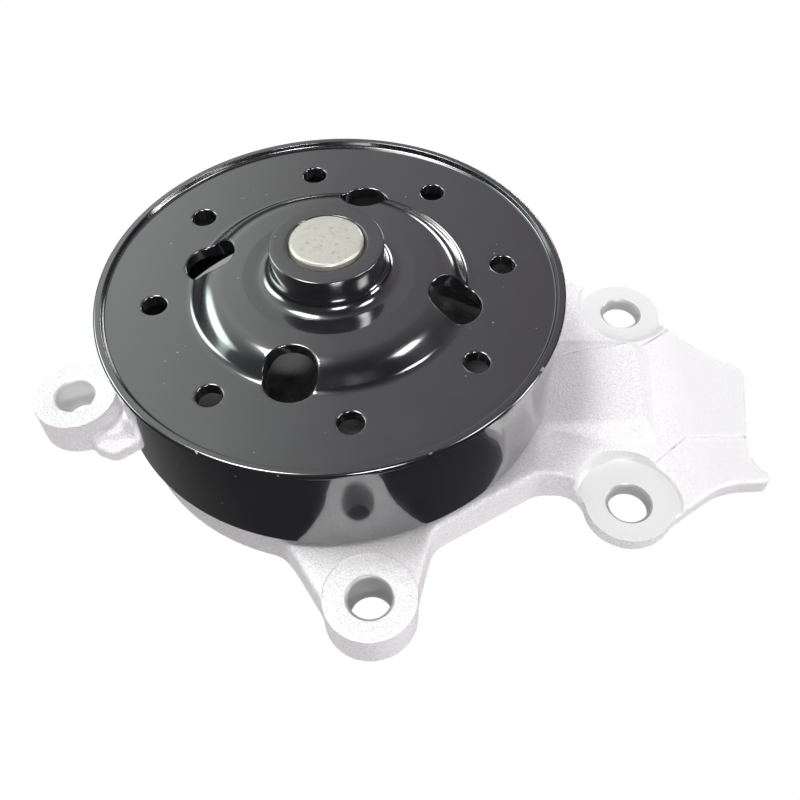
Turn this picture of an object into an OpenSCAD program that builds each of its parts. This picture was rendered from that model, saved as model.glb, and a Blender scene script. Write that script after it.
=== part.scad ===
// Engine coolant pump: aluminium body, shaft bearing, face seal, impeller and a smooth belt pulley.
// The pump axis is +Z. The origin is on that axis, at the flange's sealing face.

/* [Pulley] */
// Radius of the smooth belt band
band_r = 51.3; // [42:0.1:62]
// How far the front lip stands out past the band
lip_flare = 0.7; // [0.4:0.1:1]
// Sheet thickness
sheet_t = 2.6; // [2:0.1:3.2]
// Height of the front lip above the sealing face
lip_z = 38; // [36:0.5:42]
// Length of the pulley, from its lip to the band's open edge
band_len = 26.6; // [22:0.2:27.5]
// Depth of the web below the lip
web_drop = 1.2; // [0.6:0.1:2]
// Height of the raised dome above the web
dome_rise = 4.4; // [3:0.1:6]
// Radius at which the dome meets the web
dome_foot_r = 30.8; // [28:0.1:33]
// Radius of the flat top of the dome
dome_top_r = 24.7; // [22:0.1:26]
// Radius of the collar that grips the shaft
collar_r = 12.4; // [11:0.1:13.5]
// Height of the collar above the lip
collar_rise = 11.2; // [9:0.1:12]
// Radius of the large tool holes
tool_hole_r = 5.75; // [4:0.25:6.5]
// Radius of the circle that they lie on
tool_circle_r = 28.3; // [26:0.1:30]
// Radius of the small holes
small_hole_r = 2.75; // [2:0.25:4]
// Radius of the circle that they lie on
small_circle_r = 39; // [36:0.5:42]
// Turn of the hole pattern
hole_turn = 7.2; // [0:0.2:44]

/* [Bearing] */
// Radius of the shaft
shaft_r = 7.96; // [7:0.01:8.5]
// Length of shaft that shows above the collar
shaft_show = 0.9; // [0.4:0.1:3]
// Outer radius of the bearing's ring
ring_r = 15; // [14.6:0.1:16]
// Length of the ring
ring_len = 34; // [30:0.5:35]
// Gap from the ring's front face to the underside of the dome
ring_gap = 2.6; // [1.5:0.1:4]
// Radius of the balls
ball_r = 2.8; // [2.4:0.1:2.9]
// Balls in each row
ball_count = 9; // [7:1:9]
// Distance of each row of balls from its end of the ring
row_inset = 8; // [7:0.5:10]

/* [Body] */
// Radius of the round flange
flange_r = 49.3; // [46:0.1:52]
// Thickness of the flange
flange_t = 9.6; // [8:0.1:10.4]
// Radius of the bolt ears
ear_r = 10; // [9:0.1:11]
// Radius of the bolt holes
bolt_hole_r = 4.5; // [3.5:0.1:5]
// Height of the bottom ear's face
bottom_ear_z = 9; // [8:0.1:9.5]
// Height of the left ear's face
left_ear_z = 9.5; // [6:0.1:10]
// Height of the two wing ears' faces
wing_ear_z = 3.2; // [2.5:0.1:4]
// Thickness of the wing's smooth panel
wing_t = 4.7; // [4.2:0.1:6]
// Step down from the smooth panel to the corner panel
wing_step = 0.7; // [0.3:0.1:0.8]
// Radius of the bearing housing at its front end
housing_r = 18.6; // [18:0.1:20]
// Radius of the bearing housing where it meets the flange
housing_base_r = 21; // [20.5:0.1:23]
// Depth of the water chamber in the back of the flange
chamber_depth = 5; // [3:0.1:5.6]
// Radius of the water chamber
chamber_r = 36; // [34:0.5:38]
// Wall over the water channel
channel_wall = 3.4; // [3:0.1:4.5]
// Depth of the gasket's groove
groove_depth = 2; // [1.2:0.1:2.4]
// Width of the gasket's groove
groove_w = 2.6; // [2:0.1:3]

/* [Seal and impeller] */
// Length of the seal boss behind the sealing face
boss_len = 9.5; // [8:0.1:11]
// Radius of the seal boss
boss_r = 24.5; // [23.5:0.1:25.5]
// Radius of the seal's cup
cup_r = 18.2; // [17.5:0.1:19]
// Distance from the boss's face to the impeller's disc
seal_height = 8.7; // [8.2:0.1:10]
// Radius of the impeller
impeller_r = 32.5; // [30:0.5:35]
// Thickness of the impeller's disc
disc_t = 1.8; // [1.5:0.1:2.5]
// Height of the impeller's vanes
vane_h = 8; // [6:0.5:10]
// Number of vanes
vane_count = 6; // [5:1:8]

/* [Hidden] */
$fn = 64;
eps = 0.01;

// Pulley levels
pulley_r = band_r + lip_flare;
web_z = lip_z - web_drop;
dome_z = web_z + dome_rise;
collar_z = lip_z + collar_rise;
band_z = lip_z - band_len;
lip_w = 1.65;
lip_round = 1.3;
web_in_z = web_z - sheet_t;
dome_in_z = dome_z - sheet_t;
collar_foot = 3.2;
collar_low_z = dome_in_z - 1.2;
bore_lead = 0.85;

// Bearing levels
shaft_top_z = collar_z + shaft_show;
ring_top_z = dome_in_z - ring_gap;
ring_low_z = ring_top_z - ring_len;
row_front_z = ring_top_z - row_inset;
row_rear_z = ring_low_z + row_inset;
ball_pitch_r = shaft_r - 0.26 + ball_r;
race_play = 0.05;
ring_bore_r = ball_pitch_r + ball_r - 0.7;
shield_t = 1.6;
shield_inset = 0.2;
shield_play = 0.05;
cage_w = 2;

// Body levels
housing_top_z = ring_top_z - 1;
shoulder_t = 4.2;
shoulder_z = ring_low_z - shoulder_t;
shoulder_bore_r = ring_r - 2;
weep_r = 1.8;
hole_lead = 0.8;
weep_tilt = 58;
weep_len = 30;
lug_t = 3.2;
gasket_play = 0.1;
cast_fillet = 6;

// Ears: place, and height of the machined face
bottom_ear = [7.4, -62.6];
left_ear = [-63.6, -7.4];
low_wing_ear = [65.7, -38.3];
top_wing_ear = [73.6, 20.3];
back_ear = [-14, 57];
EARS = [
    [bottom_ear, bottom_ear_z],
    [left_ear, left_ear_z],
    [low_wing_ear, wing_ear_z],
    [top_wing_ear, wing_ear_z],
    [back_ear, bottom_ear_z],
];

// Seal levels, all behind the sealing face
boss_z = -boss_len;
disc_z = boss_z - seal_height;
flange_sheet = 0.8;
cup_sheet = 0.6;
cup_end_z = shoulder_z - 0.1;
sleeve_t = 0.55;
boot_t = 0.8;
seat_t = 2.2;
film_gap = 0.05;
seat_back_z = disc_z + sleeve_t + boot_t;
seal_face_z = seat_back_z + seat_t;
carbon_z = seal_face_z + film_gap;
carbon_nose = 0.6;
carbon_t = 2.6;
carbon_top_z = carbon_z + carbon_nose + carbon_t;
carbon_in_r = shaft_r + 2.5;
bellows_t = 1.1;
wire_r = 0.45;
spring_turns = 3;

function arc(c, r, a0, a1, n = 8) =
    [for (i = [0:n]) let (a = a0 + (a1 - a0) * i / n) c + r * [cos(a), sin(a)]];

function turned(p, a) = [p.x * cos(a) - p.y * sin(a), p.x * sin(a) + p.y * cos(a)];

module tube(r_out, r_in, z0, z1) {
    translate([0, 0, z0]) difference() {
        cylinder(r = r_out, h = z1 - z0);
        translate([0, 0, -1]) cylinder(r = r_in, h = z1 - z0 + 2);
    }
}

// ---- Pulley ----

// The sheet's front face, from the foot of the dome to its flat top
function dome_line(z_web, z_top, foot_r, top_r, bend_foot, bend_top) = concat(
    arc([foot_r + bend_foot * 0.4, z_web + bend_foot], bend_foot, 270, 225, 4),
    arc([top_r, z_top - bend_top], bend_top, 45, 90, 6)
);

module pulley_section() {
    lip_bend = 0.7;
    outer = concat(
        [[band_r, band_z], [band_r, lip_z - lip_round - lip_flare]],
        arc([pulley_r - lip_round, lip_z - lip_round], lip_round, 0, 90, 6),
        [[pulley_r - lip_w + 0.2, lip_z], [pulley_r - lip_w, lip_z - 0.2]],
        arc([pulley_r - lip_w - lip_bend, web_z + lip_bend], lip_bend, 0, -90, 4),
        dome_line(web_z, dome_z, dome_foot_r, dome_top_r, 1.8, 4),
        arc([collar_r + collar_foot, dome_z + collar_foot], collar_foot, 270, 180, 8),
        [[collar_r, collar_z - 0.4], [collar_r - 0.4, collar_z]],
        [[shaft_r + bore_lead, collar_z], [shaft_r, collar_z - bore_lead]]
    );
    inner = concat(
        [[shaft_r, collar_low_z], [collar_r - 0.6, collar_low_z]],
        [[collar_r + 0.6, dome_in_z]],
        arc([dome_top_r - 0.8, dome_in_z - 3], 3, 90, 45, 5),
        arc([dome_foot_r - 1.4 + 3.4, web_in_z + 3.4], 3.4, 225, 270, 4),
        arc([band_r - sheet_t - 2.2, web_in_z - 2.2], 2.2, 90, 0, 6),
        [[band_r - sheet_t, band_z]]
    );
    polygon(concat(outer, inner));
}

module pulley() {
    color([0.07, 0.07, 0.08])
    difference() {
        rotate_extrude() pulley_section();
        for (i = [0:7])
            rotate(hole_turn + 45 * i)
                translate([small_circle_r, 0, web_in_z - 1])
                    cylinder(r = small_hole_r, h = sheet_t + 2);
        for (i = [0:3])
            rotate(hole_turn - 22.5 + 90 * i)
                translate([tool_circle_r, 0, web_in_z - 1])
                    cylinder(r = tool_hole_r, h = dome_z - web_in_z + 2);
    }
}

// ---- Shaft bearing ----

module pump_shaft() {
    bevel = 0.5;
    low_z = disc_z - disc_t - 3.6;
    color([0.78, 0.77, 0.73])
    difference() {
        rotate_extrude() polygon([
            [0, low_z], [shaft_r - bevel, low_z], [shaft_r, low_z + bevel],
            [shaft_r, shaft_top_z - bevel], [shaft_r - bevel, shaft_top_z], [0, shaft_top_z],
        ]);
        for (z = [row_front_z, row_rear_z]) ball_race(z);
    }
}

module ball_race(z) {
    translate([0, 0, z]) rotate_extrude() translate([ball_pitch_r, 0]) circle(r = ball_r + race_play);
}

module bearing_ring() {
    color([0.62, 0.62, 0.63])
    difference() {
        tube(ring_r, ring_bore_r, ring_low_z, ring_top_z);
        for (z = [row_front_z, row_rear_z]) ball_race(z);
    }
}

module bearing_seal(z0) {
    color([0.25, 0.13, 0.08])
    tube(ring_bore_r, shaft_r + shield_play, z0, z0 + shield_t);
}

module ball_set(z) {
    color([0.85, 0.85, 0.86])
    for (i = [0:ball_count - 1])
        rotate(360 / ball_count * i) translate([ball_pitch_r, 0, z]) sphere(r = ball_r);
}

// A crown cage: a ring beside the balls, with a pocket for each
module ball_cage(z, side) {
    pocket_r = ball_r + 0.12;
    reach = ball_r + 1.2;
    color([0.85, 0.80, 0.66])
    difference() {
        translate([0, 0, z]) mirror([0, 0, side])
            tube(ball_pitch_r + cage_w / 2, ball_pitch_r - cage_w / 2, -reach, ball_r * 0.3);
        for (i = [0:ball_count - 1])
            rotate(360 / ball_count * i) translate([ball_pitch_r, 0, z]) sphere(r = pocket_r);
    }
}

module slinger() {
    color([0.12, 0.12, 0.12])
    tube(shoulder_bore_r - 1.4, shaft_r, ring_low_z - 2.6, ring_low_z - 1.2);
}

// ---- Face seal ----

module seal_cup() {
    color([0.72, 0.72, 0.72])
    rotate_extrude() polygon([
        [cup_r + 3.2, boss_z - flange_sheet], [cup_r + 3.2, boss_z], [cup_r, boss_z],
        [cup_r, cup_end_z - 0.8], [cup_r - 0.8, cup_end_z], [carbon_in_r, cup_end_z],
        [carbon_in_r, cup_end_z - cup_sheet], [cup_r - cup_sheet, cup_end_z - cup_sheet],
        [cup_r - cup_sheet, boss_z - flange_sheet],
    ]);
}

module seal_bellows() {
    top = cup_end_z - cup_sheet;
    inner = carbon_in_r;
    color([0.06, 0.06, 0.06])
    rotate_extrude() polygon([
        [inner, top], [cup_r - cup_sheet, top], [cup_r - cup_sheet, top - bellows_t],
        [inner + bellows_t, top - bellows_t], [inner + bellows_t, carbon_top_z + bellows_t],
        [inner + 5, carbon_top_z + bellows_t], [inner + 5, carbon_top_z], [inner, carbon_top_z],
    ]);
}

// The spring's wire is a round section carried along a helix
spring_low_z = carbon_top_z + bellows_t + 0.5 + wire_r;
spring_high_z = cup_end_z - cup_sheet - bellows_t - wire_r;
spring_r = cup_r - cup_sheet - 1.9;
spring_steps = 16;
spring_sides = 6;

module seal_spring() {
    rings = spring_turns * spring_steps;
    points = [
        for (i = [0:rings], k = [0:spring_sides - 1])
            let (
                a = 360 * i / spring_steps,
                b = 360 * k / spring_sides,
                r = spring_r + wire_r * cos(b),
                z = spring_low_z + (spring_high_z - spring_low_z) * i / rings + wire_r * sin(b)
            )
            [r * cos(a), r * sin(a), z]
    ];
    sides = [
        for (i = [0:rings - 1], k = [0:spring_sides - 1])
            let (n = (k + 1) % spring_sides, p = i * spring_sides)
            [p + k, p + n, p + spring_sides + n, p + spring_sides + k]
    ];
    caps = [
        [for (k = [spring_sides - 1:-1:0]) k],
        [for (k = [0:spring_sides - 1]) rings * spring_sides + k],
    ];
    color([0.8, 0.8, 0.8])
    polyhedron(points, concat(sides, caps));
}

module spring_seat() {
    low = carbon_top_z + bellows_t;
    color([0.75, 0.75, 0.74])
    tube(spring_r + 0.9, carbon_in_r + bellows_t + 0.3, low, low + 0.5);
}

module carbon_ring() {
    color([0.16, 0.16, 0.17])
    rotate_extrude() polygon([
        [carbon_in_r, carbon_top_z], [carbon_in_r + 4.6, carbon_top_z],
        [carbon_in_r + 4.6, carbon_z + carbon_nose], [carbon_in_r + 3.3, carbon_z + carbon_nose],
        [carbon_in_r + 3.1, carbon_z], [carbon_in_r + 1, carbon_z],
        [carbon_in_r, carbon_z + carbon_nose],
    ]);
}

module seat_ring() {
    color([0.9, 0.88, 0.82])
    tube(carbon_in_r + 4.2, shaft_r + sleeve_t + boot_t, seat_back_z, seal_face_z);
}

module seat_boot() {
    in_r = shaft_r + sleeve_t;
    out_r = carbon_in_r + 4.2;
    color([0.07, 0.07, 0.07])
    rotate_extrude() polygon([
        [in_r, disc_z + sleeve_t], [out_r + boot_t, disc_z + sleeve_t],
        [out_r + boot_t, seal_face_z - 0.9], [out_r, seal_face_z - 0.9],
        [out_r, seat_back_z], [in_r + boot_t, seat_back_z],
        [in_r + boot_t, seal_face_z - 0.4], [in_r, seal_face_z - 0.4],
    ]);
}

module seat_sleeve() {
    flange = carbon_in_r + 5.6;
    color([0.74, 0.74, 0.75])
    rotate_extrude() polygon([
        [shaft_r, disc_z], [flange, disc_z], [flange, disc_z + sleeve_t],
        [shaft_r + sleeve_t, disc_z + sleeve_t], [shaft_r + sleeve_t, seal_face_z + 2.4],
        [shaft_r, seal_face_z + 2.4],
    ]);
}

// ---- Impeller ----

// A vane's centre line sweeps back as it goes outwards
function vane_line(side) = [
    for (i = [0:10]) let (t = i / 10, r = 12.6 + (impeller_r - 13.1) * t)
        turned([r, side * 0.8], -52 * pow(t, 1.15))
];

module impeller() {
    hub_t = 2.6;
    relief_r = 3;
    color([0.66, 0.66, 0.67])
    difference() {
        union() {
            translate([0, 0, disc_z - disc_t]) cylinder(r = impeller_r, h = disc_t);
            translate([0, 0, disc_z - disc_t - 3]) cylinder(r = shaft_r + hub_t, h = 3 + eps);
            for (i = [0:vane_count - 1])
                rotate(360 / vane_count * i)
                    translate([0, 0, disc_z - disc_t - vane_h])
                        linear_extrude(vane_h + 0.5)
                            polygon(concat(vane_line(-1), [for (i = [10:-1:0]) vane_line(1)[i]]));
        }
        translate([0, 0, disc_z - disc_t - 4]) cylinder(r = shaft_r, h = disc_t + 5);
        for (i = [0:2])
            rotate(120 * i + 24) translate([19, 0, disc_z - disc_t - 1])
                cylinder(r = relief_r, h = disc_t + 2);
    }
}

// ---- Body ----

module ear_arm(ear, from, width) {
    hull() {
        translate(ear) circle(r = ear_r);
        translate(from) circle(r = width);
    }
}

// The wing's outline, clockwise from the lower web
WING = [
    [21, -47.5], [45.5, -33.6], [56, -34], [66, -46], [74.5, -43.4], [80, -39.6], [86, -35.7],
    [91, -34.4], [99.5, -34.2], [98.8, -32], [96.6, -29], [95.9, -25.5], [96.2, -21.4],
    [100.2, -3.4], [99.4, -0.6], [94.5, 2.4], [88.5, 8.2], [82.6, 15], [76, 22],
    [65, 24], [61, 25.5], [60, 30.5], [44, 36], [24, 44],
];

// The web that carries the bottom ear
BOTTOM_ARM = [[-2.6, -63], [-9, -52], [-15, -44], [22, -44], [20.4, -50], [17.2, -61.5]];

module flange_plan() {
    corner = 1.6;
    offset(r = corner, $fn = 24) offset(delta = -corner)
    offset(r = -cast_fillet, $fn = 40) offset(r = cast_fillet, $fn = 40)
    union() {
        circle(r = flange_r, $fn = 96);
        translate(bottom_ear) circle(r = ear_r);
        polygon(BOTTOM_ARM);
        ear_arm(back_ear, [-12, 42], 12);
        ear_arm(left_ear, [-44, -5], 9);
        for (ear = [low_wing_ear, top_wing_ear]) translate(ear) circle(r = ear_r);
        polygon(WING);
    }
}

// The stop lug beside the left ear
module stop_lug_plan() {
    offset(r = 2) offset(delta = -2)
        polygon([[-61, -9], [-58.8, -18.4], [-53.6, -20.8], [-47, -16.2], [-45, -6]]);
}

// Space over the low parts of the casting, taken from the full thickness
module wing_relief() {
    slope_x = 46;
    flat_x = 73;
    rotate([90, 0, 0]) translate([0, 0, -60]) linear_extrude(120)
        polygon([
            [slope_x, flange_t + 0.2], [slope_x, flange_t], [flat_x, wing_t],
            [120, wing_t], [120, flange_t + 5], [slope_x, flange_t + 5],
        ]);
}

// The raised channel that carries water out to the wing
module channel_bulge() {
    hull() {
        translate([0, 0, flange_t - eps]) linear_extrude(eps)
            offset(r = 3, $fn = 32) offset(delta = -3)
                polygon([[36, -20.4], [71.8, -20.4], [73.5, 4.6], [36, 5.4]]);
        translate([0, 0, wing_t - 0.4]) linear_extrude(eps)
            offset(r = 3, $fn = 32) offset(delta = -3)
                polygon([[36, -24.2], [74.4, -24.2], [78.2, 8.6], [36, 9]]);
    }
}

module left_relief() {
    low_t = 4.6;
    translate([0, 0, low_t]) linear_extrude(flange_t)
        polygon([[-80, -30], [-51.5, -30], [-51.5, 20], [-80, 20]]);
}

module corner_panel_relief() {
    translate([0, 0, wing_t - wing_step]) linear_extrude(5)
        polygon([[81.6, -21.3], [110, -21.8], [110, -60], [70, -60], [72, -29]]);
}

module housing() {
    rib_t = 4.4;
    translate([0, 0, flange_t - eps])
        cylinder(r1 = housing_base_r, r2 = housing_r, h = housing_top_z - flange_t);
    for (a = [-50, 22, 94, 166, 238])
        rotate(a) rotate([90, 0, 0]) translate([0, 0, -rib_t / 2]) linear_extrude(rib_t)
            polygon([
                [housing_r - 3, flange_t - 1], [42, flange_t - 1], [40, flange_t + 0.2],
                [23.5, flange_t + 15], [housing_r - 3, flange_t + 15],
            ]);
}

// Everything that water reaches behind the flange
module chamber_plan() {
    circle(r = chamber_r);
    channel_plan();
    wing_port_plan();
}

module channel_plan() {
    offset(r = 3) offset(delta = -3)
        polygon([[20, -18.6], [70.5, -18.6], [71.5, 3.4], [20, 3.4]]);
}

module wing_port_plan() {
    offset(r = 4) offset(delta = -4)
        polygon([[60, -18.6], [88, -18.6], [90.5, -4.5], [82, 3.4], [60, 3.4]]);
}

module groove_plan(slack) {
    difference() {
        offset(r = 2.2 + groove_w - slack) chamber_plan();
        offset(r = 2.2 + slack) chamber_plan();
    }
}

module bolt_hole(ear, face_z) {
    translate([ear.x, ear.y, -1]) cylinder(r = bolt_hole_r, h = face_z + 2);
    translate([ear.x, ear.y, face_z - hole_lead])
        cylinder(r1 = bolt_hole_r, r2 = bolt_hole_r + hole_lead + 0.2, h = hole_lead + 0.2);
}

module weep_hole() {
    translate([0, -shoulder_bore_r + 2, ring_low_z - 2.4]) rotate([weep_tilt, 0, 0])
        cylinder(r = weep_r, h = weep_len);
}

module body_solid() {
    difference() {
        linear_extrude(flange_t) flange_plan();
        difference() {
            wing_relief();
            channel_bulge();
        }
        difference() {
            left_relief();
            translate([left_ear.x, left_ear.y, 0]) cylinder(r = ear_r, h = left_ear_z);
        }
        corner_panel_relief();
        spot_face(low_wing_ear, wing_ear_z, ear_r + 2);
        spot_face(top_wing_ear, wing_ear_z, ear_r + 0.9);
        spot_face(bottom_ear, bottom_ear_z, ear_r);
        spot_face(back_ear, bottom_ear_z, ear_r);
    }
    linear_extrude(lug_t) stop_lug_plan();
    housing();
    translate([0, 0, boss_z]) cylinder(r = boss_r, h = boss_len + chamber_depth + 1);
}

module spot_face(ear, face_z, r) {
    translate([ear.x, ear.y, face_z]) cylinder(r = r, h = flange_t);
}

module chamber_space() {
    translate([0, 0, -1]) linear_extrude(chamber_depth + 1) circle(r = chamber_r);
    translate([0, 0, -1]) linear_extrude(flange_t - channel_wall + 1) channel_plan();
    translate([0, 0, -1]) linear_extrude(wing_t - 3.1 + 1) wing_port_plan();
}

module pump_body() {
    color([0.80, 0.80, 0.81])
    difference() {
        body_solid();
        difference() {
            chamber_space();
            translate([0, 0, boss_z]) cylinder(r = boss_r, h = boss_len + flange_t);
        }
        translate([0, 0, -1]) linear_extrude(groove_depth + 1) groove_plan(0);
        for (e = EARS) bolt_hole(e[0], e[1]);
        translate([0, 0, ring_low_z]) cylinder(r = ring_r, h = ring_len + 2);
        translate([0, 0, shoulder_z - 1]) cylinder(r = shoulder_bore_r, h = shoulder_t + 2);
        translate([0, 0, boss_z - 1]) cylinder(r = cup_r, h = shoulder_z - boss_z + 1);
        weep_hole();
    }
}

module flange_gasket() {
    color([0.10, 0.11, 0.12])
    linear_extrude(groove_depth) groove_plan(gasket_play);
}

pump_body();
flange_gasket();
bearing_ring();
bearing_seal(ring_top_z - shield_inset - shield_t);  // bearing_seal_front
bearing_seal(ring_low_z + shield_inset);  // bearing_seal_rear
ball_set(row_front_z);  // balls_front
ball_cage(row_front_z, 0);  // ball_cage_front
ball_set(row_rear_z);  // balls_rear
ball_cage(row_rear_z, 1);  // ball_cage_rear
pump_shaft();
pulley();
slinger();
seal_cup();
seal_bellows();
seal_spring();
spring_seat();
carbon_ring();
seat_ring();
seat_boot();
seat_sleeve();
impeller();
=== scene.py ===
import math

import bmesh
import bpy
import numpy as np
from mathutils import Matrix, Vector
from mathutils.bvhtree import BVHTree


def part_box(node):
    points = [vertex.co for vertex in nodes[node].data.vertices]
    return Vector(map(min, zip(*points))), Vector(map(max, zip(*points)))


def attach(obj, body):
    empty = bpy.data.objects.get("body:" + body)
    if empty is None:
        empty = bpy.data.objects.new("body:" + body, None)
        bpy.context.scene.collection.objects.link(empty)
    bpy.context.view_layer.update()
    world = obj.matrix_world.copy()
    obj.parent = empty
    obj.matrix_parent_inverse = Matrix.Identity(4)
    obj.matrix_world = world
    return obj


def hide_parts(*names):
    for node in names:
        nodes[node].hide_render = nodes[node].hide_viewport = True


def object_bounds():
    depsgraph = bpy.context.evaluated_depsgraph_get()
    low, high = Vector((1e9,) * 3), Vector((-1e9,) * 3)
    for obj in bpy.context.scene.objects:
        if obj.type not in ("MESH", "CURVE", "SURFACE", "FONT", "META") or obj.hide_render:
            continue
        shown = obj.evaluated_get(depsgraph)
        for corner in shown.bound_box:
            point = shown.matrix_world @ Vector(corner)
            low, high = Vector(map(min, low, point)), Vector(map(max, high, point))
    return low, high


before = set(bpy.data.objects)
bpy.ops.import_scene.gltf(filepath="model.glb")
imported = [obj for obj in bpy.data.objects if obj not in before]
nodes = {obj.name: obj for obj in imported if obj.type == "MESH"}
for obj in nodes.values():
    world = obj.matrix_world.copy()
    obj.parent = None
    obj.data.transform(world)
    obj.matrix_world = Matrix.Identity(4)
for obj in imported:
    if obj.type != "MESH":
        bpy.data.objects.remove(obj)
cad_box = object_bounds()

MM = 0.001

# ---------------------------------------------------------------- measures, all in millimetres
PULLEY_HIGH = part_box("pulley")[1][2] / MM
PULLEY_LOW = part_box("pulley")[0][2] / MM
LIP_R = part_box("pulley")[1][0] / MM
LIP_Z = 38.0
WEB_Z = 36.8
DOME_Z = 41.2
BAND_R = 51.3
SHEET = 2.6
COLLAR_R = 12.4
COLLAR_FOOT = 37.4
RIM_ROUND = 0.38
SHAFT_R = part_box("pump_shaft")[1][0] / MM
SHAFT_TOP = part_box("pump_shaft")[1][2] / MM
SHAFT_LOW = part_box("pump_shaft")[0][2] / MM
BALL_CIRCLE_R = 10.5
RACE_R = 2.85
# distance from the axis, angle in degrees and radius of each hole in the pulley
SMALL_HOLES = [(39.0, 7.2 + 45 * i, 2.75) for i in range(8)]
TOOL_HOLES = [(28.3, 7.2 - 22.5 + 90 * i, 5.75) for i in range(4)]
# corners of the pulley's front face from the collar out to the lip: radius, height, fillet
FACE_CORNERS = [
    (COLLAR_R, DOME_Z - 0.05, 3.2),
    (19.0, DOME_Z, 6.0),
    (26.6, DOME_Z - 0.30, 9.0),
    (30.9, WEB_Z, 2.8),
    (49.95, WEB_Z, 0.6),
    (50.35, LIP_Z, 0.25),
]
# ear centre, height of its machined face, radius of the cutter that makes it
EARS = [
    ((7.4, -62.6), 9.0, 10.0),
    ((-63.6, -7.4), 9.5, 10.0),
    ((65.7, -38.3), 3.2, 12.0),
    ((73.6, 20.3), 3.2, 10.9),
    ((-14.0, 57.0), 9.0, 10.0),
]
BOLT_R = 4.5
# middle, height and radius of the flange's lobe at the back left
LOBE = (-35.0, 38.0)
LOBE_TOP = 6.0
LOBE_R = 13.0
# the casting's two parting lines, seen from above
STEP_LINES = [
    [(73.4, -28.2), (81.6, -21.4), (104.0, -21.8)],
    [(50.0, -0.6), (60.7, 2.6), (68.0, 3.6), (74.4, 5.9), (84.3, 12.6)],
]

SKIN_VOXEL = 0.74
SKIN_SMOOTHS = 4
FACE_ALLOWANCE = 1.2
CAST_ON_EAR = 0.7
BORE_CHAMFER = 0.8


# ---------------------------------------------------------------- shapes
def rounded(corners, steps=7):
    """Corner list of (radius, height, fillet) made into a fine line: each corner with a fillet
    becomes a circular arc, tangent to both of its sides."""
    line = []
    for i, (r, z, fillet) in enumerate(corners):
        p = np.array([r, z], float)
        if fillet <= 0:
            line.append(p)
            continue
        a = np.array(corners[i - 1][:2], float) - p
        b = np.array(corners[(i + 1) % len(corners)][:2], float) - p
        la, lb = np.linalg.norm(a), np.linalg.norm(b)
        a, b = a / la, b / lb
        half = 0.5 * math.acos(float(np.clip(a @ b, -1, 1)))
        if half > 1.55:
            line.append(p)
            continue
        reach = min(fillet / math.tan(half), 0.49 * la, 0.49 * lb)
        radius = reach * math.tan(half)
        mid = (a + b) / np.linalg.norm(a + b)
        centre = p + mid * radius / math.sin(half)
        u0, u1 = (p + a * reach - centre) / radius, (p + b * reach - centre) / radius
        turn = math.acos(float(np.clip(u0 @ u1, -1, 1)))
        for s in np.linspace(0, 1, steps):
            u = (math.sin((1 - s) * turn) * u0 + math.sin(s * turn) * u1) / math.sin(turn)
            line.append(centre + radius * u)
    return np.array(line)


def finer(line, step, closed=True):
    """Puts extra points on the long straight runs of a line, so that none is longer than step."""
    ends = np.roll(line, -1, axis=0) if closed else line[1:]
    out = []
    for p, q in zip(line, ends):
        n = max(1, int(math.ceil(np.linalg.norm(q - p) / step)))
        out.append(p + (q - p) * (np.arange(n) / n)[:, None])
    if not closed:
        out.append(line[-1:])
    return np.concatenate(out)


def new_piece(name, verts, faces, finish):
    """A mesh object from arrays: verts in millimetres, faces as index rows."""
    mesh = bpy.data.meshes.new(name)
    mesh.from_pydata((np.asarray(verts) * MM).tolist(), [], [list(map(int, f)) for f in faces])
    mesh.materials.append(finish)
    mesh.shade_smooth()
    piece = bpy.data.objects.new(name, mesh)
    bpy.context.scene.collection.objects.link(piece)
    return piece


def turned(name, line, finish, turns=192, centre=(0.0, 0.0)):
    """Body of revolution: point (i, j) = (radius_i cos a_j, radius_i sin a_j, height_i), moved to
    centre. The line runs anticlockwise in the radius-height plane. It is closed, or makes a pole at
    each end where both its ends lie on the axis."""
    r, z = line[:, 0], line[:, 1]
    solid = r[0] < 1e-6 and r[-1] < 1e-6
    a = np.arange(turns) * 2 * math.pi / turns
    body = slice(1, -1) if solid else slice(None)
    rr, zz = r[body], z[body]
    grid = np.stack(
        [
            centre[0] + rr[:, None] * np.cos(a),
            centre[1] + rr[:, None] * np.sin(a),
            np.repeat(zz[:, None], turns, axis=1),
        ],
        axis=-1,
    )
    verts = grid.reshape(-1, 3)
    n = len(rr)
    i = np.arange(n - 1 if solid else n)[:, None]
    j = np.arange(turns)[None, :]
    i2, j2 = (i + 1) % n, (j + 1) % turns
    quads = np.stack(
        [i * turns + j, i * turns + j2, i2 * turns + j2, i2 * turns + j], axis=-1
    ).reshape(-1, 4)
    faces = quads.tolist()
    if solid:
        low, high = len(verts), len(verts) + 1
        verts = np.vstack([verts, [[*centre, z[0]], [*centre, z[-1]]]])
        ring = np.arange(turns)
        nxt = (ring + 1) % turns
        faces += np.stack([nxt, ring, np.full(turns, low)], 1).tolist()
        top = (n - 1) * turns
        faces += np.stack([top + ring, top + nxt, np.full(turns, high)], 1).tolist()
    return new_piece(name, verts, faces, finish)


def fuse(piece, reach=2e-6):
    """Joins the loose triangles of a carried-over mesh at their shared points."""
    bm = bmesh.new()
    bm.from_mesh(piece.data)
    bmesh.ops.remove_doubles(bm, verts=bm.verts, dist=reach)
    bm.to_mesh(piece.data)
    bm.free()


def copy_of(node, name, finish):
    """A copy of a frame node under a new name, with its triangles joined."""
    piece = nodes[node].copy()
    piece.data = nodes[node].data.copy()
    piece.parent = None
    piece.name = piece.data.name = name
    for key in list(piece.keys()):
        del piece[key]
    bpy.context.scene.collection.objects.link(piece)
    piece.data.materials.clear()
    piece.data.materials.append(finish)
    fuse(piece)
    if "custom_normal" in piece.data.attributes:
        piece.data.attributes.remove(piece.data.attributes["custom_normal"])
    return piece


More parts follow.
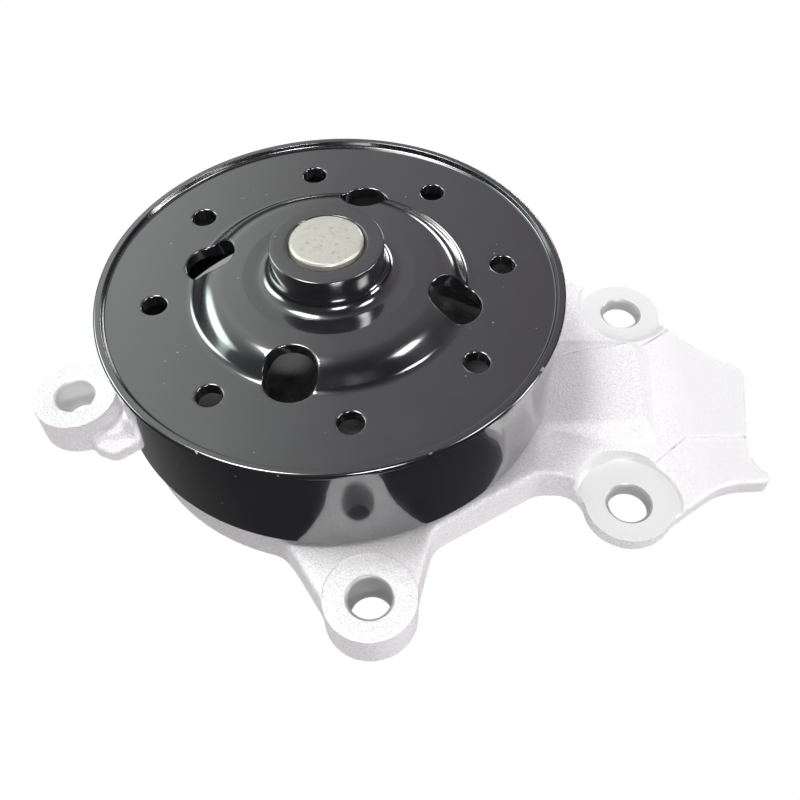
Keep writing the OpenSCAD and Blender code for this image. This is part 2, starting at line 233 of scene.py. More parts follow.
def soften(piece, degrees=32):
    """Smooth shading, with the edges sharper than this left crisp and the large faces leading."""
    piece.data.shade_smooth()
    piece.data.set_sharp_from_angle(angle=math.radians(degrees))
    even = piece.modifiers.new("even", "WEIGHTED_NORMAL")
    even.keep_sharp = True
    even.weight = 80


def settle(piece):
    """Makes the piece's modifiers permanent."""
    graph = bpy.context.evaluated_depsgraph_get()
    mesh = bpy.data.meshes.new_from_object(piece.evaluated_get(graph), depsgraph=graph)
    old = piece.data
    piece.modifiers.clear()
    piece.data = mesh
    name = old.name
    bpy.data.meshes.remove(old)
    mesh.name = name


def cut(piece, tools):
    """Cuts the tools out of the piece and throws the tools away."""
    for tool in tools:
        m = piece.modifiers.new("cut", "BOOLEAN")
        m.operation = "DIFFERENCE"
        m.solver = "EXACT"
        m.object = tool
        m.material_mode = "TRANSFER"
    settle(piece)
    for tool in tools:
        bpy.data.objects.remove(tool)


def joined(name, pieces):
    """One object from several, keeping their finishes."""
    bm = bmesh.new()
    finishes = []
    for p in pieces:
        start = len(finishes)
        finishes += list(p.data.materials)
        old = len(bm.faces)
        bm.from_mesh(p.data)
        bm.faces.ensure_lookup_table()
        for f in bm.faces[old:]:
            f.material_index += start
    mesh = bpy.data.meshes.new(name)
    unique = list(dict.fromkeys(finishes))
    for f in bm.faces:
        f.material_index = unique.index(finishes[f.material_index])
    bm.to_mesh(mesh)
    bm.free()
    for m in unique:
        mesh.materials.append(m)
    for p in pieces:
        bpy.data.objects.remove(p)
    piece = bpy.data.objects.new(name, mesh)
    piece.name = name
    bpy.context.scene.collection.objects.link(piece)
    return piece


# ---------------------------------------------------------------- finishes
def add_node(tree, kind, values=None, **settings):
    """A shader node with its settings, and its inputs set by name or number."""
    made = tree.nodes.new(kind)
    for key, value in settings.items():
        setattr(made, key, value)
    for socket, value in (values or {}).items():
        made.inputs[socket].default_value = value
    return made


def map_range(tree, value, low, high, out_low, out_high, curve="LINEAR"):
    """Maps low..high onto out_low..out_high, and holds the ends."""
    limits = {"From Min": low, "From Max": high, "To Min": out_low, "To Max": out_high}
    made = add_node(tree, "ShaderNodeMapRange", limits, interpolation_type=curve)
    tree.links.new(value, made.inputs["Value"])
    return made.outputs["Result"]


def product(tree, a, b):
    """The product of an output and another output or a number."""
    made = add_node(tree, "ShaderNodeMath", operation="MULTIPLY")
    tree.links.new(a, made.inputs[0])
    if isinstance(b, (int, float)):
        made.inputs[1].default_value = b
    else:
        tree.links.new(b, made.inputs[1])
    return made.outputs[0]


class Finish:
    """A material being built up: one Principled shader and the patterns that feed it."""

    def __init__(self, name, color, metallic=0.0, roughness=0.5):
        self.mat = bpy.data.materials.new(name)
        self.mat.use_nodes = True
        self.tree = self.mat.node_tree
        self.shader = self.tree.nodes["Principled BSDF"]
        self.color = (*color, 1.0)
        self.shader.inputs["Base Color"].default_value = self.color
        self.shader.inputs["Metallic"].default_value = metallic
        self.shader.inputs["Roughness"].default_value = roughness
        self.where = self.tree.nodes.new("ShaderNodeTexCoord").outputs["Object"]
        self.bump = None

    def node(self, kind, values=None, **settings):
        return add_node(self.tree, kind, values, **settings)

    def join(self, a, b):
        self.tree.links.new(a, b)

    def grain(self, size_mm, detail=3.0, rough=0.5, stretch=None):
        """Noise with grains of this size."""
        values = {"Scale": 1.0 / (size_mm * MM), "Detail": detail, "Roughness": rough}
        n = self.node("ShaderNodeTexNoise", values)
        self.join(self.placed(stretch), n.inputs["Vector"])
        return n.outputs["Fac"]

    def cells(self, size_mm, stretch=None):
        """Voronoi cells of this size: distance from the nearest cell centre."""
        n = self.node("ShaderNodeTexVoronoi", {"Scale": 1.0 / (size_mm * MM)})
        self.join(self.placed(stretch), n.inputs["Vector"])
        return n.outputs["Distance"]

    def placed(self, stretch):
        """Object coordinates, drawn out along each axis by stretch."""
        if stretch is None:
            return self.where
        m = self.node("ShaderNodeMapping", {"Scale": stretch})
        self.join(self.where, m.inputs["Vector"])
        return m.outputs["Vector"]

    def window(self, value, low, high, out_low=0.0, out_high=1.0):
        """Maps low..high onto out_low..out_high, and holds the ends."""
        return map_range(self.tree, value, low, high, out_low, out_high)

    def times(self, a, b, operation="MULTIPLY"):
        """Two values put together by a sum, a product or a power."""
        m = self.node("ShaderNodeMath", operation=operation)
        for value, socket in ((a, m.inputs[0]), (b, m.inputs[1])):
            if isinstance(value, (int, float)):
                socket.default_value = value
            else:
                self.join(value, socket)
        return m.outputs[0]

    def blend(self, share, other):
        """Mixes another colour into the base colour by share."""
        m = self.node("ShaderNodeMix", data_type="RGBA")
        self.join(share, m.inputs["Factor"])
        link = self.shader.inputs["Base Color"].links
        if link:
            self.join(link[0].from_socket, m.inputs["A"])
        else:
            m.inputs["A"].default_value = self.color
        m.inputs["B"].default_value = (*other, 1.0)
        self.join(m.outputs["Result"], self.shader.inputs["Base Color"])

    def rough(self, value):
        self.join(value, self.shader.inputs["Roughness"])

    def relief(self, height, depth_mm, strength):
        """Adds a bump of this depth on top of those before it."""
        b = self.node("ShaderNodeBump", {"Strength": strength, "Distance": depth_mm * MM})
        self.join(height, b.inputs["Height"])
        if self.bump is not None:
            self.join(self.bump, b.inputs["Normal"])
        self.bump = b.outputs["Normal"]
        self.join(self.bump, self.shader.inputs["Normal"])

    def place(self):
        """The three object coordinates, in metres."""
        s = self.node("ShaderNodeSeparateXYZ")
        self.join(self.where, s.inputs[0])
        return s.outputs

    def radius(self):
        """Distance from the pump's axis, in metres."""
        x, y, _ = self.place()
        return self.times(self.times(self.times(x, x), self.times(y, y), "ADD"), 0.5, "POWER")


def gloss_black_coat():
    """Black lacquer under a clear coat, with dust, fine scuffs and chips along the lip."""
    f = Finish("gloss_black_coat", (0.010, 0.010, 0.012), 0.0, 0.2)
    f.shader.inputs["Coat Weight"].default_value = 1.0
    f.shader.inputs["Coat Roughness"].default_value = 0.05
    f.shader.inputs["Coat IOR"].default_value = 1.9
    f.shader.inputs["Specular IOR Level"].default_value = 1.0
    f.rough(f.window(f.grain(9, 4), 0.3, 0.7, 0.13, 0.24))
    face = f.window(f.radius(), 0.0490, 0.0480)
    f.relief(f.times(f.grain(1.6, 2), face), 0.006, 0.5)
    f.relief(f.times(f.grain(14, 2), face), 0.05, 0.35)
    dust = f.window(f.cells(3.4), 0.075, 0.04)
    patchy = f.window(f.grain(11, 2), 0.5, 0.6)
    f.blend(f.times(f.times(dust, patchy), 0.6), (0.42, 0.42, 0.42))
    scuff = f.window(f.cells(5.2, stretch=(1.0, 0.16, 1.0)), 0.03, 0.015)
    f.blend(f.times(f.times(scuff, f.window(f.grain(19, 2), 0.56, 0.62)), 0.5), (0.4, 0.4, 0.4))
    lip = f.times(f.window(f.radius(), 0.0514, 0.0518), f.window(f.place()[2], 0.0372, 0.0376))
    f.blend(f.times(lip, f.window(f.grain(3.2, 3), 0.66, 0.7)), (0.6, 0.6, 0.6))
    return f.mat


def shot_cast_aluminium():
    """Shot-blasted casting skin: pitted and grainy and calmer on the wing, with painted shade that
    darkens the wing, the skin under the pulley and the lobe at the back left."""
    f = Finish("shot_cast_aluminium", (0.89, 0.87, 0.885), 0.15, 0.5)
    fine = f.grain(0.42, 3, 0.6)
    pits = f.cells(0.62)
    f.rough(f.window(f.grain(0.7, 2), 0.3, 0.7, 0.34, 0.58))
    wing = f.window(f.place()[0], 0.072, 0.084, 0.8, 0.3)
    f.blend(f.times(f.window(fine, 0.36, 0.66), wing), (0.62, 0.605, 0.62))
    f.blend(f.times(f.window(pits, 0.30, 0.05, 0.0, 0.6), wing), (0.60, 0.58, 0.60))
    # painted shade: the wing's colour is darkened so it stays dimmer than the rest of the skin
    # under the same lamps
    f.blend(f.window(f.place()[0], 0.074, 0.086, 0.0, 0.6), (0.70, 0.69, 0.70))
    f.blend(f.window(f.grain(16, 3), 0.45, 0.75, 0.0, 0.25), (0.72, 0.70, 0.71))
    # painted shade: the skin grows darker towards the axis, under the pulley, where the pulley
    # shades it
    f.blend(f.window(f.radius(), 0.0515, 0.046, 0.0, 0.68), (0.10, 0.10, 0.105))
    # painted shade: a darker patch on the lobe at the back left, beside the pulley's band, standing
    # in for its shade
    x, y, _ = f.place()
    lobe = f.times(f.window(x, -0.022, -0.027), f.window(y, 0.026, 0.031))
    f.blend(f.times(f.window(f.radius(), 0.063, 0.059, 0.0, 0.75), lobe), (0.16, 0.16, 0.165))
    f.relief(pits, 0.16, 0.6)
    f.relief(fine, 0.14, 0.7)
    f.relief(f.grain(5, 3), 0.22, 0.35)
    return f.mat


def milled_aluminium():
    """Faces cut flat, with a finer grain than the casting's skin."""
    f = Finish("milled_aluminium", (0.80, 0.795, 0.80), 0.25, 0.34)
    f.rough(f.window(f.grain(1.2, 3), 0.3, 0.7, 0.28, 0.42))
    f.blend(f.window(f.grain(0.5, 3), 0.55, 0.8, 0.0, 0.25), (0.7, 0.7, 0.7))
    f.relief(f.grain(0.25, 2), 0.012, 0.5)
    return f.mat


def shaded_drilled_aluminium():
    """Bores, with marks running round them. Their base colour is darker than the milled faces':
    painted shade for the inside of the bores.
    """
    f = Finish("shaded_drilled_aluminium", (0.52, 0.515, 0.52), 0.4, 0.4)
    f.rough(f.window(f.grain(0.8, 3), 0.3, 0.7, 0.34, 0.48))
    f.relief(f.grain(0.5, 2, stretch=(0.2, 0.2, 3.0)), 0.02, 0.5)
    return f.mat


def ground_shaft_steel():
    """Warm grey ground steel with faint plain specks."""
    f = Finish("ground_shaft_steel", (0.66, 0.645, 0.58), 0.75, 0.42)
    f.rough(f.window(f.grain(0.6, 3), 0.3, 0.7, 0.36, 0.5))
    f.blend(f.window(f.grain(1.3, 4, 0.7), 0.56, 0.66, 0.0, 0.45), (0.34, 0.33, 0.29))
    f.relief(f.grain(0.3, 3), 0.01, 0.6)
    return f.mat


def bright_steel(name, color, roughness, grain_mm=0.5):
    """Bare finished steel with a faint grain and duller patches."""
    f = Finish(name, color, 1.0, roughness)
    f.rough(f.window(f.grain(grain_mm * 4, 3), 0.3, 0.7, roughness * 0.8, roughness * 1.25))
    f.relief(f.grain(grain_mm, 3, 0.6), 0.01, 0.5)
    f.blend(f.window(f.grain(7, 4), 0.5, 0.8, 0.0, 0.3), tuple(c * 0.7 for c in color))
    return f.mat


def zinc_coated_steel():
    """Pressed steel with the spangle of a zinc coat."""
    f = Finish("zinc_coated_steel", (0.62, 0.63, 0.64), 0.9, 0.36)
    f.rough(f.window(f.cells(3.2), 0.0, 0.8, 0.26, 0.46))
    f.blend(f.window(f.cells(4.0), 0.1, 0.7, 0.0, 0.4), (0.46, 0.47, 0.49))
    f.relief(f.grain(0.6, 3), 0.015, 0.5)
    return f.mat


def moulded_rubber(name, color, roughness=0.62):
    """Matt rubber with a fine grain and paler bloom in patches."""
    bloom = tuple(min(1, c * 1.8 + 0.02) for c in color)
    f = Finish(name, color, 0.0, roughness)
    f.rough(f.window(f.grain(1.5, 3), 0.3, 0.7, roughness - 0.1, roughness + 0.1))
    f.relief(f.grain(0.35, 3), 0.02, 0.6)
    f.blend(f.window(f.grain(4, 3), 0.5, 0.8, 0.0, 0.3), bloom)
    return f.mat


def lapped_carbon():
    """Dark carbon with fine paler grains."""
    f = Finish("lapped_carbon", (0.05, 0.05, 0.053), 0.2, 0.36)
    f.blend(f.window(f.grain(0.3, 3), 0.55, 0.75, 0.0, 0.4), (0.12, 0.12, 0.125))
    f.relief(f.grain(0.2, 2), 0.006, 0.5)
    return f.mat


def lapped_ceramic():
    """Cream ceramic, smooth, with faint mottling."""
    f = Finish("lapped_ceramic", (0.83, 0.81, 0.74), 0.0, 0.22)
    f.blend(f.window(f.grain(0.9, 4), 0.52, 0.75, 0.0, 0.3), (0.74, 0.71, 0.62))
    f.rough(f.window(f.grain(2, 2), 0.3, 0.7, 0.16, 0.3))
    return f.mat


def moulded_nylon():
    """Tan nylon, slightly translucent."""
    f = Finish("moulded_nylon", (0.66, 0.58, 0.42), 0.0, 0.45)
    f.shader.inputs["Subsurface Weight"].default_value = 0.1
    f.relief(f.grain(0.5, 3), 0.015, 0.5)
    f.blend(f.window(f.grain(3, 3), 0.5, 0.8, 0.0, 0.3), (0.74, 0.68, 0.54))
    return f.mat


BLACK = gloss_black_coat()
CAST = shot_cast_aluminium()
MILLED = milled_aluminium()
SHADED_DRILLED = shaded_drilled_aluminium()
SHAFT = ground_shaft_steel()
BEARING = bright_steel("ground_bearing_steel", (0.58, 0.58, 0.59), 0.22)
PRESSED = bright_steel("pressed_stainless", (0.66, 0.65, 0.63), 0.26)
POLISHED = bright_steel("polished_ball_steel", (0.78, 0.78, 0.79), 0.08, 1.5)
ZINC = zinc_coated_steel()
RUBBER = moulded_rubber("black_seal_rubber", (0.022, 0.022, 0.023))
GASKET = moulded_rubber("gasket_rubber", (0.032, 0.036, 0.04), 0.5)
LIP_SEAL = moulded_rubber("brown_lip_seal_rubber", (0.09, 0.035, 0.02), 0.5)
CARBON = lapped_carbon()
CERAMIC = lapped_ceramic()
NYLON = moulded_nylon()

# ---------------------------------------------------------------- the camera
eye = np.array([15.00, -149.42, 183.65]) * MM
right = np.array([0.999594, -0.021477, -0.018703])
ahead = np.array([-0.001355, 0.620107, -0.784516])
up = np.cross(right, ahead)
camera = bpy.data.objects.new("camera", bpy.data.cameras.new("camera"))
camera.data.lens = 41.97
camera.data.sensor_width = 36.0
camera.data.clip_start = 0.01
camera.matrix_world = Matrix(
    [[*(float(v[i]) for v in (right, up, -ahead)), float(eye[i])] for i in range(3)]
    + [[0, 0, 0, 1]]
)
bpy.context.scene.collection.objects.link(camera)
bpy.context.scene.camera = camera


# ---------------------------------------------------------------- pulley
# the front face of the pressed sheet as a fine line, from the collar's foot out to the lip
FRONT = rounded([(COLLAR_R, DOME_Z + 6, 0), *FACE_CORNERS], 9)[1:-1]


def sheet_front(radius):
    """Height of the pulley's front face at a distance from the axis."""
    return np.interp(radius, FRONT[:, 0], FRONT[:, 1])


def punch(circle_r, degrees, hole_r):
    """A punch whose side is a tube, flared by a quarter round where it meets the front face. Point
    (level, turn) = centre + (hole_r + flare) in that direction; its height follows the sheet."""
    k = 64
    a = np.arange(k) * 2 * math.pi / k
    c = circle_r * np.array([math.cos(math.radians(degrees)), math.sin(math.radians(degrees))])
    quarter = np.linspace(0, math.pi / 2, 5)
    top = RIM_ROUND * 1.25
    flare = np.concatenate([[0, 0], RIM_ROUND * (1 - np.cos(quarter)), [top, top]])
    drop = np.concatenate([[-9, -2.2], -RIM_ROUND + RIM_ROUND * np.sin(quarter), [0.25, 4.0]])
    rings = []
    for f, d in zip(flare, drop):
        x = c[0] + (hole_r + f) * np.cos(a)
        y = c[1] + (hole_r + f) * np.sin(a)
        z = sheet_front(np.hypot(x, y)) + d
        if d < -5 or d > 1:
            z = np.full_like(z, WEB_Z - 9 if d < 0 else DOME_Z + 5)
        rings.append(np.stack([x, y, z], 1))
    verts = np.concatenate(rings)
    n = len(rings)
    i, j = np.meshgrid(np.arange(n - 1), np.arange(k), indexing="ij")
    j2 = (j + 1) % k
    quads = np.stack([i * k + j, i * k + j2, (i + 1) * k + j2, (i + 1) * k + j], -1)
    faces = quads.reshape(-1, 4).tolist()
    faces += [list(range(k))[::-1], [(n - 1) * k + q for q in range(k)]]
    return new_piece("punch", verts, faces, BLACK)


def pulley_shell():
    """One pressed cup: the outer line and, a sheet's thickness inside it, the inner line, turned
    about the axis and punched."""
    inner = rounded(
        [
            (SHAFT_R, COLLAR_FOOT, 0.3),
            (COLLAR_R + 0.2, COLLAR_FOOT, 0.5),
            (COLLAR_R + 0.9, DOME_Z - SHEET, 0.4),
            (24.3, DOME_Z - SHEET, 3.4),
            (29.4, WEB_Z - SHEET, 3.6),
            (BAND_R - SHEET, WEB_Z - SHEET, 2.4),
            (BAND_R - SHEET, PULLEY_LOW, 0.5),
        ],
        8,
    )
    outer = rounded(
        [
            (BAND_R - SHEET, PULLEY_LOW, 0.5),
            (BAND_R, PULLEY_LOW, 0.5),
            (BAND_R, LIP_Z - 2.0, 0.6),
            (LIP_R, LIP_Z - 1.3, 0.3),
            (LIP_R, LIP_Z, 1.25),
            *reversed(FACE_CORNERS),
            (COLLAR_R, PULLEY_HIGH, 0.35),
            (SHAFT_R + 0.9, PULLEY_HIGH, 0.2),
            (SHAFT_R, PULLEY_HIGH - 0.95, 0.1),
            (SHAFT_R, COLLAR_FOOT, 0.3),
        ],
        9,
    )
    line = finer(np.concatenate([outer[4:-9], inner[:-1]]), 1.3)
    keep = np.linalg.norm(np.roll(line, -1, axis=0) - line, axis=1) > 1e-4
    shell = turned("pulley_shell", line[keep], BLACK, 288)
    cut(shell, [punch(*hole) for hole in SMALL_HOLES + TOOL_HOLES])
    soften(shell, 48)
    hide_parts("pulley")
    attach(shell, "rotor")


pulley_shell()


# ---------------------------------------------------------------- shaft
def shaft_bar():
    """Ground bar with a chamfer at each end and two ball races: radius = the smaller of the bar's
    and ball circle - sqrt(race radius^2 - height^2), with height counted from the race's middle."""
    corners = [
        (0.0, SHAFT_LOW, 0),
        (SHAFT_R - 0.6, SHAFT_LOW, 0.15),
        (SHAFT_R, SHAFT_LOW + 0.6, 0.2),
        (SHAFT_R, SHAFT_TOP - 0.45, 0.3),
        (SHAFT_R - 0.45, SHAFT_TOP, 0.25),
        (0.0, SHAFT_TOP, 0),
    ]
    line = finer(rounded(corners, 6), 1.0, closed=False)
    for low, high in (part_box("balls_rear"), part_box("balls_front")):
        mid = 0.5 * (low[2] + high[2]) / MM
        dip = RACE_R**2 - (line[:, 1] - mid) ** 2
        groove = (line[:, 0] > SHAFT_R - 0.01) & (dip > 0)
        line[groove, 0] = np.minimum(line[groove, 0], BALL_CIRCLE_R - np.sqrt(dip[groove]))
    bar = turned("shaft_bar", line, SHAFT, 128)
    soften(bar, 40)
    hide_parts("pump_shaft")
    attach(bar, "rotor")


shaft_bar()


# ---------------------------------------------------------------- casting
def cutter(centre, low, high, radius, finish, chamfer=0.0, lean=0.0):
    """A turned tool: a straight cylinder, opened out at its top by a chamfer or from its foot by a
    leaning side."""
    line = [(0, low), (radius, low)]
    if chamfer:
        flare = chamfer + 0.6
        line += [(radius, high), (radius + flare, high + flare)]
        line += [(radius + flare, high + 8), (0, high + 8)]
    elif lean:
        line += [(radius + lean, low + 1.3 * lean), (radius + lean, high), (0, high)]
    else:
        line += [(radius, high), (0, high)]
    return turned("cutter", np.array(line, float), finish, 96, centre)


def scribe(body, path, width, depth):
    """A fine groove tool that follows the body's skin under a line seen from above. Section: a
    diamond this wide, sunk this deep below the skin."""
    tree = BVHTree.FromObject(body, bpy.context.evaluated_depsgraph_get())
    line = finer(np.array(path, float), 0.5, closed=False)
    verts = []
    for k, (x, y) in enumerate(line):
        hit = tree.ray_cast(Vector((x * MM, y * MM, 0.06)), Vector((0, 0, -1)))[0]
        z = hit.z / MM if hit else 0.0
        ahead = line[min(k + 1, len(line) - 1)] - line[max(k - 1, 0)]
        side = np.array([-ahead[1], ahead[0]]) / np.linalg.norm(ahead)
        for across, lift in ((0, -depth), (width / 2, 0.15), (0, 0.6), (-width / 2, 0.15)):
            verts.append((x + side[0] * across, y + side[1] * across, z + lift))
    n = len(line)
    faces = [
        [4 * k + q, 4 * k + (q + 1) % 4, 4 * k + 4 + (q + 1) % 4, 4 * k + 4 + q]
        for k in range(n - 1)
        for q in range(4)
    ]
    faces += [[3, 2, 1, 0], [4 * n - 4, 4 * n - 3, 4 * n - 2, 4 * n - 1]]
    tool = new_piece("scribe", verts, faces, CAST)
    bm = bmesh.new()
    bm.from_mesh(tool.data)
    bmesh.ops.recalc_face_normals(bm, faces=bm.faces)
    bm.to_mesh(tool.data)
    bm.free()
    return tool


def rounder(piece, low, high, edge, rounds):
    """Smooths the part of the piece inside a box of space, fading out over edge millimetres."""
    co = np.array([v.co for v in piece.data.vertices]) / MM
    inside = np.minimum(co - low, high - co).min(axis=1)
    share = np.clip(inside / edge, 0, 1)
    zone = piece.vertex_groups.new(name="zone")
    for i in np.nonzero(share > 0)[0]:
        zone.add([int(i)], float(share[i]), "REPLACE")
    wear = piece.modifiers.new("round", "SMOOTH")
    wear.factor = 0.5
    wear.iterations = rounds
    wear.vertex_group = "zone"
    settle(piece)
    piece.vertex_groups.clear()


def casting():
    """The body as it is made: a cast skin with soft edges, grown a little where it is machined, and
    then the ear faces, the bores and the sealing face cut into it."""
    rough = copy_of("pump_body", "casting", CAST)
    mesh = rough.data
    co = np.empty(len(mesh.vertices) * 3)
    mesh.vertices.foreach_get("co", co)
    co = co.reshape(-1, 3)
    sealing = np.abs(co[:, 2]) < 2e-6
    co[sealing, 2] -= FACE_ALLOWANCE * MM
    mesh.vertices.foreach_set("co", co.ravel())
    stock = [rough]
    for centre, height, radius in EARS:
        boss = min(radius, 10.0) - 0.05
        stock.append(cutter(centre, -FACE_ALLOWANCE, height + CAST_ON_EAR, boss, CAST))
    stock.append(cutter(LOBE, -FACE_ALLOWANCE, LOBE_TOP, LOBE_R, CAST))
    rough = joined("casting", stock)
    skin = rough.modifiers.new("skin", "REMESH")
    skin.mode = "VOXEL"
    skin.voxel_size = SKIN_VOXEL * MM
    skin.adaptivity = 0.0
    wear = rough.modifiers.new("wear", "SMOOTH")
    wear.factor = 0.5
    wear.iterations = SKIN_SMOOTHS
    settle(rough)
    rounder(rough, (54, -30, 3.4), (82, 14, 12), 2.0, 18)
    for path in STEP_LINES:
        cut(rough, [scribe(rough, path, 0.75, 0.55)])
    tools = []
    for centre, height, radius in EARS:
        if height < 5:
            tools.append(cutter(centre, height, height + 20, radius - 0.4, MILLED, lean=1.2))
        else:
            tools.append(cutter(centre, height, height + 20, radius, CAST))
    cut(rough, [joined("faces", tools)])
    drills = []
    for centre, height, _ in EARS:
        # painted light and shade: the left ear's bore, which the light reaches, takes the pale
        # milled colour; the others take the darker drilled colour as painted shade
        bore = MILLED if centre[0] < -60 else SHADED_DRILLED
        drills.append(cutter(centre, -4, height - BORE_CHAMFER, BOLT_R, bore, BORE_CHAMFER))
    cut(rough, [joined("drills", drills)])
    below = np.array([[30.0, -6.0], [130.0, -6.0], [130.0, 0.0], [30.0, 0.0]])
    cut(rough, [turned("facing", below, MILLED, 128)])
    soften(rough, 50)
    for flat in rough.data.polygons:
        if abs(flat.normal.z) > 0.999 and rough.data.materials[flat.material_index] == MILLED:
            flat.use_smooth = False
    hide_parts("pump_body")
    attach(rough, "housing")


casting()

# ---------------------------------------------------------------- the other pieces
# node: the piece's name, its finish, its slot and the body it rides on
CARRIED = {
    "flange_gasket": ("gasket_cord", GASKET, "gasket_rubber", "housing"),
    "bearing_ring": ("bearing_outer", BEARING, "bearing_steel", "housing"),
    "bearing_seal_front": ("front_lip_seal", LIP_SEAL, "lip_seal_rubber", "housing"),
    "bearing_seal_rear": ("rear_lip_seal", LIP_SEAL, "lip_seal_rubber", "housing"),
    "balls_front": ("front_balls", POLISHED, "ball_steel", "front_row"),
    "ball_cage_front": ("front_cage", NYLON, "cage_nylon", "front_row"),
    "balls_rear": ("rear_balls", POLISHED, "ball_steel", "rear_row"),
    "ball_cage_rear": ("rear_cage", NYLON, "cage_nylon", "rear_row"),
    "slinger": ("slinger_ring", RUBBER, "seal_rubber", "rotor"),
    "seal_cup": ("seal_case", PRESSED, "seal_steel", "housing"),
    "seal_bellows": ("seal_bellow", RUBBER, "seal_rubber", "housing"),
    "seal_spring": ("seal_coil", PRESSED, "seal_steel", "housing"),
    "spring_seat": ("spring_washer", PRESSED, "seal_steel", "housing"),
    "carbon_ring": ("carbon_face", CARBON, "carbon", "housing"),
    "seat_ring": ("ceramic_face", CERAMIC, "seat_ceramic", "rotor"),
    "seat_boot": ("ceramic_boot", RUBBER, "seal_rubber", "rotor"),
    "seat_sleeve": ("seat_tube", PRESSED, "seal_steel", "rotor"),
    "impeller": ("impeller_wheel", ZINC, "impeller_steel", "rotor"),
}
for node, (name, finish, paint_slot, body) in CARRIED.items():
    piece = copy_of(node, name, finish)
    soften(piece)
    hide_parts(node)
    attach(piece, body)

# ---------------------------------------------------------------- studio
def pale_floor():
    """A white floor. It shows white, lights the piece from below as a white table does, and is dim
    in polished surfaces, as under a shaded bench. From below it is clear."""
    mat = bpy.data.materials.new("pale_floor")
    mat.use_nodes = True
    tree = mat.node_tree
    tree.nodes.clear()
    where = add_node(tree, "ShaderNodeTexCoord")
    split = add_node(tree, "ShaderNodeSeparateXYZ")
    tree.links.new(where.outputs["Object"], split.inputs[0])
    dim = map_range(tree, split.outputs["Y"], -0.075, 0.03, 0.024, 0.17, "SMOOTHSTEP")
    path = add_node(tree, "ShaderNodeLightPath")
    side = add_node(tree, "ShaderNodeNewGeometry")
    bounce = {"Color": (1.0, 0.965, 0.99, 1.0), "Strength": 1.2}
    table = add_node(tree, "ShaderNodeEmission", bounce)
    mirrored = add_node(tree, "ShaderNodeEmission", {"Color": (1, 1, 1, 1)})
    tree.links.new(dim, mirrored.inputs["Strength"])
    seen = add_node(tree, "ShaderNodeEmission", {"Color": (1, 1, 1, 1), "Strength": 1.0})
    clear = add_node(tree, "ShaderNodeBsdfTransparent")
    shade = table.outputs[0]
    for share, other in (
        (path.outputs["Is Glossy Ray"], mirrored),
        (path.outputs["Is Camera Ray"], seen),
        (side.outputs["Backfacing"], clear),
    ):
        mix = add_node(tree, "ShaderNodeMixShader")
        tree.links.new(share, mix.inputs[0])
        tree.links.new(shade, mix.inputs[1])
        tree.links.new(other.outputs[0], mix.inputs[2])
        shade = mix.outputs[0]
    out = add_node(tree, "ShaderNodeOutputMaterial")
    tree.links.new(shade, out.inputs["Surface"])
    return mat


def studio_world():
    """Soft room light: dark at the horizon and at the front, brighter overhead, and brighter on the
    left than on the right. Seen directly it is plain white."""
    world = bpy.data.worlds.new("studio")
    world.use_nodes = True
    tree = world.node_tree
    back = tree.nodes["Background"]
    where = add_node(tree, "ShaderNodeTexCoord")
    split = add_node(tree, "ShaderNodeSeparateXYZ")
    tree.links.new(where.outputs["Generated"], split.inputs[0])
    ramp = add_node(tree, "ShaderNodeValToRGB")
    stops = [
        (0.0, (1.05, 1.10, 1.08)),
        (0.36, (1.00, 1.03, 1.01)),
        (0.47, (0.46, 0.455, 0.465)),
        (0.58, (0.33, 0.31, 0.335)),
        (1.0, (0.30, 0.29, 0.31)),
    ]
    while len(ramp.color_ramp.elements) < len(stops):
        ramp.color_ramp.elements.new(0.5)
    for stop, (at, color) in zip(ramp.color_ramp.elements, stops):
        stop.position = at
        stop.color = (*color, 1.0)
    side = map_range(tree, split.outputs["X"], -1.0, 1.0, 0.0, 1.0)
    tree.links.new(side, ramp.inputs["Fac"])
    tree.links.new(ramp.outputs["Color"], back.inputs["Color"])
    rise = map_range(tree, split.outputs["Z"], 0.1, 0.5, 0.03, 1.0, "SMOOTHSTEP")
    depth = map_range(tree, split.outputs["Y"], -0.40, 0.85, 0.1, 1.0, "SMOOTHSTEP")
    tree.links.new(product(tree, rise, depth), back.inputs["Strength"])
    plain = add_node(tree, "ShaderNodeBackground", {"Color": (1, 1, 1, 1)})
    path = add_node(tree, "ShaderNodeLightPath")
    mix = add_node(tree, "ShaderNodeMixShader")
    tree.links.new(path.outputs["Is Camera Ray"], mix.inputs[0])
    tree.links.new(back.outputs[0], mix.inputs[1])
    tree.links.new(plain.outputs[0], mix.inputs[2])
    tree.links.new(mix.outputs[0], tree.nodes["World Output"].inputs["Surface"])
    bpy.context.scene.world = world


FLOOR_GAP = 0.0002
floor_z = float(cad_box[0][2]) - FLOOR_GAP
bpy.ops.mesh.primitive_plane_add(size=6, location=(0, 0, floor_z))
floor = bpy.context.active_object
floor.name = "studio_floor"
floor.data.materials.append(pale_floor())
studio_world()


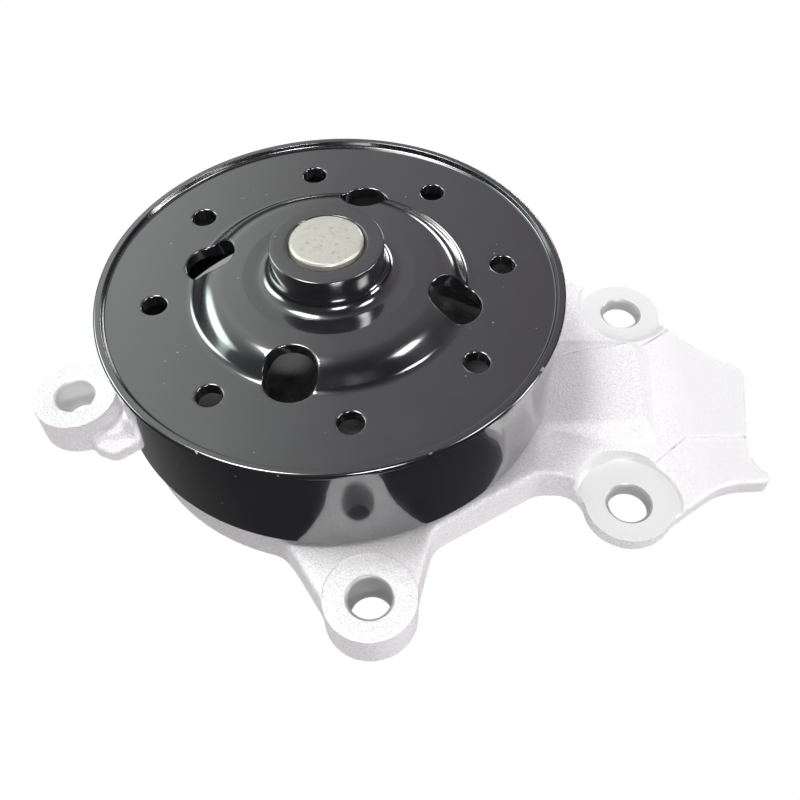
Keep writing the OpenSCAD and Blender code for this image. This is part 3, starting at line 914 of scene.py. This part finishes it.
def softbox(name, place, aim, size, power, color=(1, 1, 1)):
    """A rectangular lamp at place, turned towards aim, both in metres. It fades to its edges:
    level = 16 u (1 - u) v (1 - v), whose mean over the lamp is 4/9, so its power is 9/4 of what an
    even lamp would need."""
    lamp = bpy.data.lights.new(name, "AREA")
    lamp.shape = "RECTANGLE"
    lamp.size, lamp.size_y = size
    lamp.energy = power * 2.25
    lamp.color = color
    lamp.use_nodes = True
    tree = lamp.node_tree
    surface = add_node(tree, "ShaderNodeNewGeometry")
    split = add_node(tree, "ShaderNodeSeparateXYZ")
    tree.links.new(surface.outputs["Parametric"], split.inputs[0])
    humps = []
    for axis in ("X", "Y"):
        rest = add_node(tree, "ShaderNodeMath", {0: 1.0}, operation="SUBTRACT")
        tree.links.new(split.outputs[axis], rest.inputs[1])
        humps.append(product(tree, product(tree, split.outputs[axis], rest.outputs[0]), 4.0))
    tree.links.new(product(tree, *humps), tree.nodes["Emission"].inputs["Strength"])
    box = bpy.data.objects.new(name, lamp)
    z = np.array(place, float) - np.array(aim, float)
    z /= np.linalg.norm(z)
    x = np.cross([0, 0, 1.0], z)
    x /= np.linalg.norm(x)
    y = np.cross(z, x)
    axes = [[float(x[i]), float(y[i]), float(z[i]), float(place[i])] for i in range(3)]
    box.matrix_world = Matrix(axes + [[0, 0, 0, 1]])
    bpy.context.scene.collection.objects.link(box)


MIDDLE = (0, 0, 0.03)
softbox("left_window", (-0.78, 0.26, 0.46), MIDDLE, (0.8, 0.34), 3.6, (0.87, 1.0, 0.95))
softbox("key_top", (-0.40, 0.05, 1.2), MIDDLE, (0.6, 0.45), 9.5)
softbox("front_window", (0.25, -0.85, 0.55), MIDDLE, (0.4, 0.18), 4.5)
softbox("right_top", (0.72, -0.20, 0.90), (0.02, 0, 0.02), (0.4, 0.3), 3.2)
softbox("right_low", (0.95, -0.10, 0.22), (0.04, 0, 0.01), (0.3, 0.16), 2.8)
softbox("back_low", (0.45, 0.9, 0.26), (0.02, 0, 0.02), (0.5, 0.14), 1.6)
bpy.context.scene.view_settings.view_transform = "Standard"
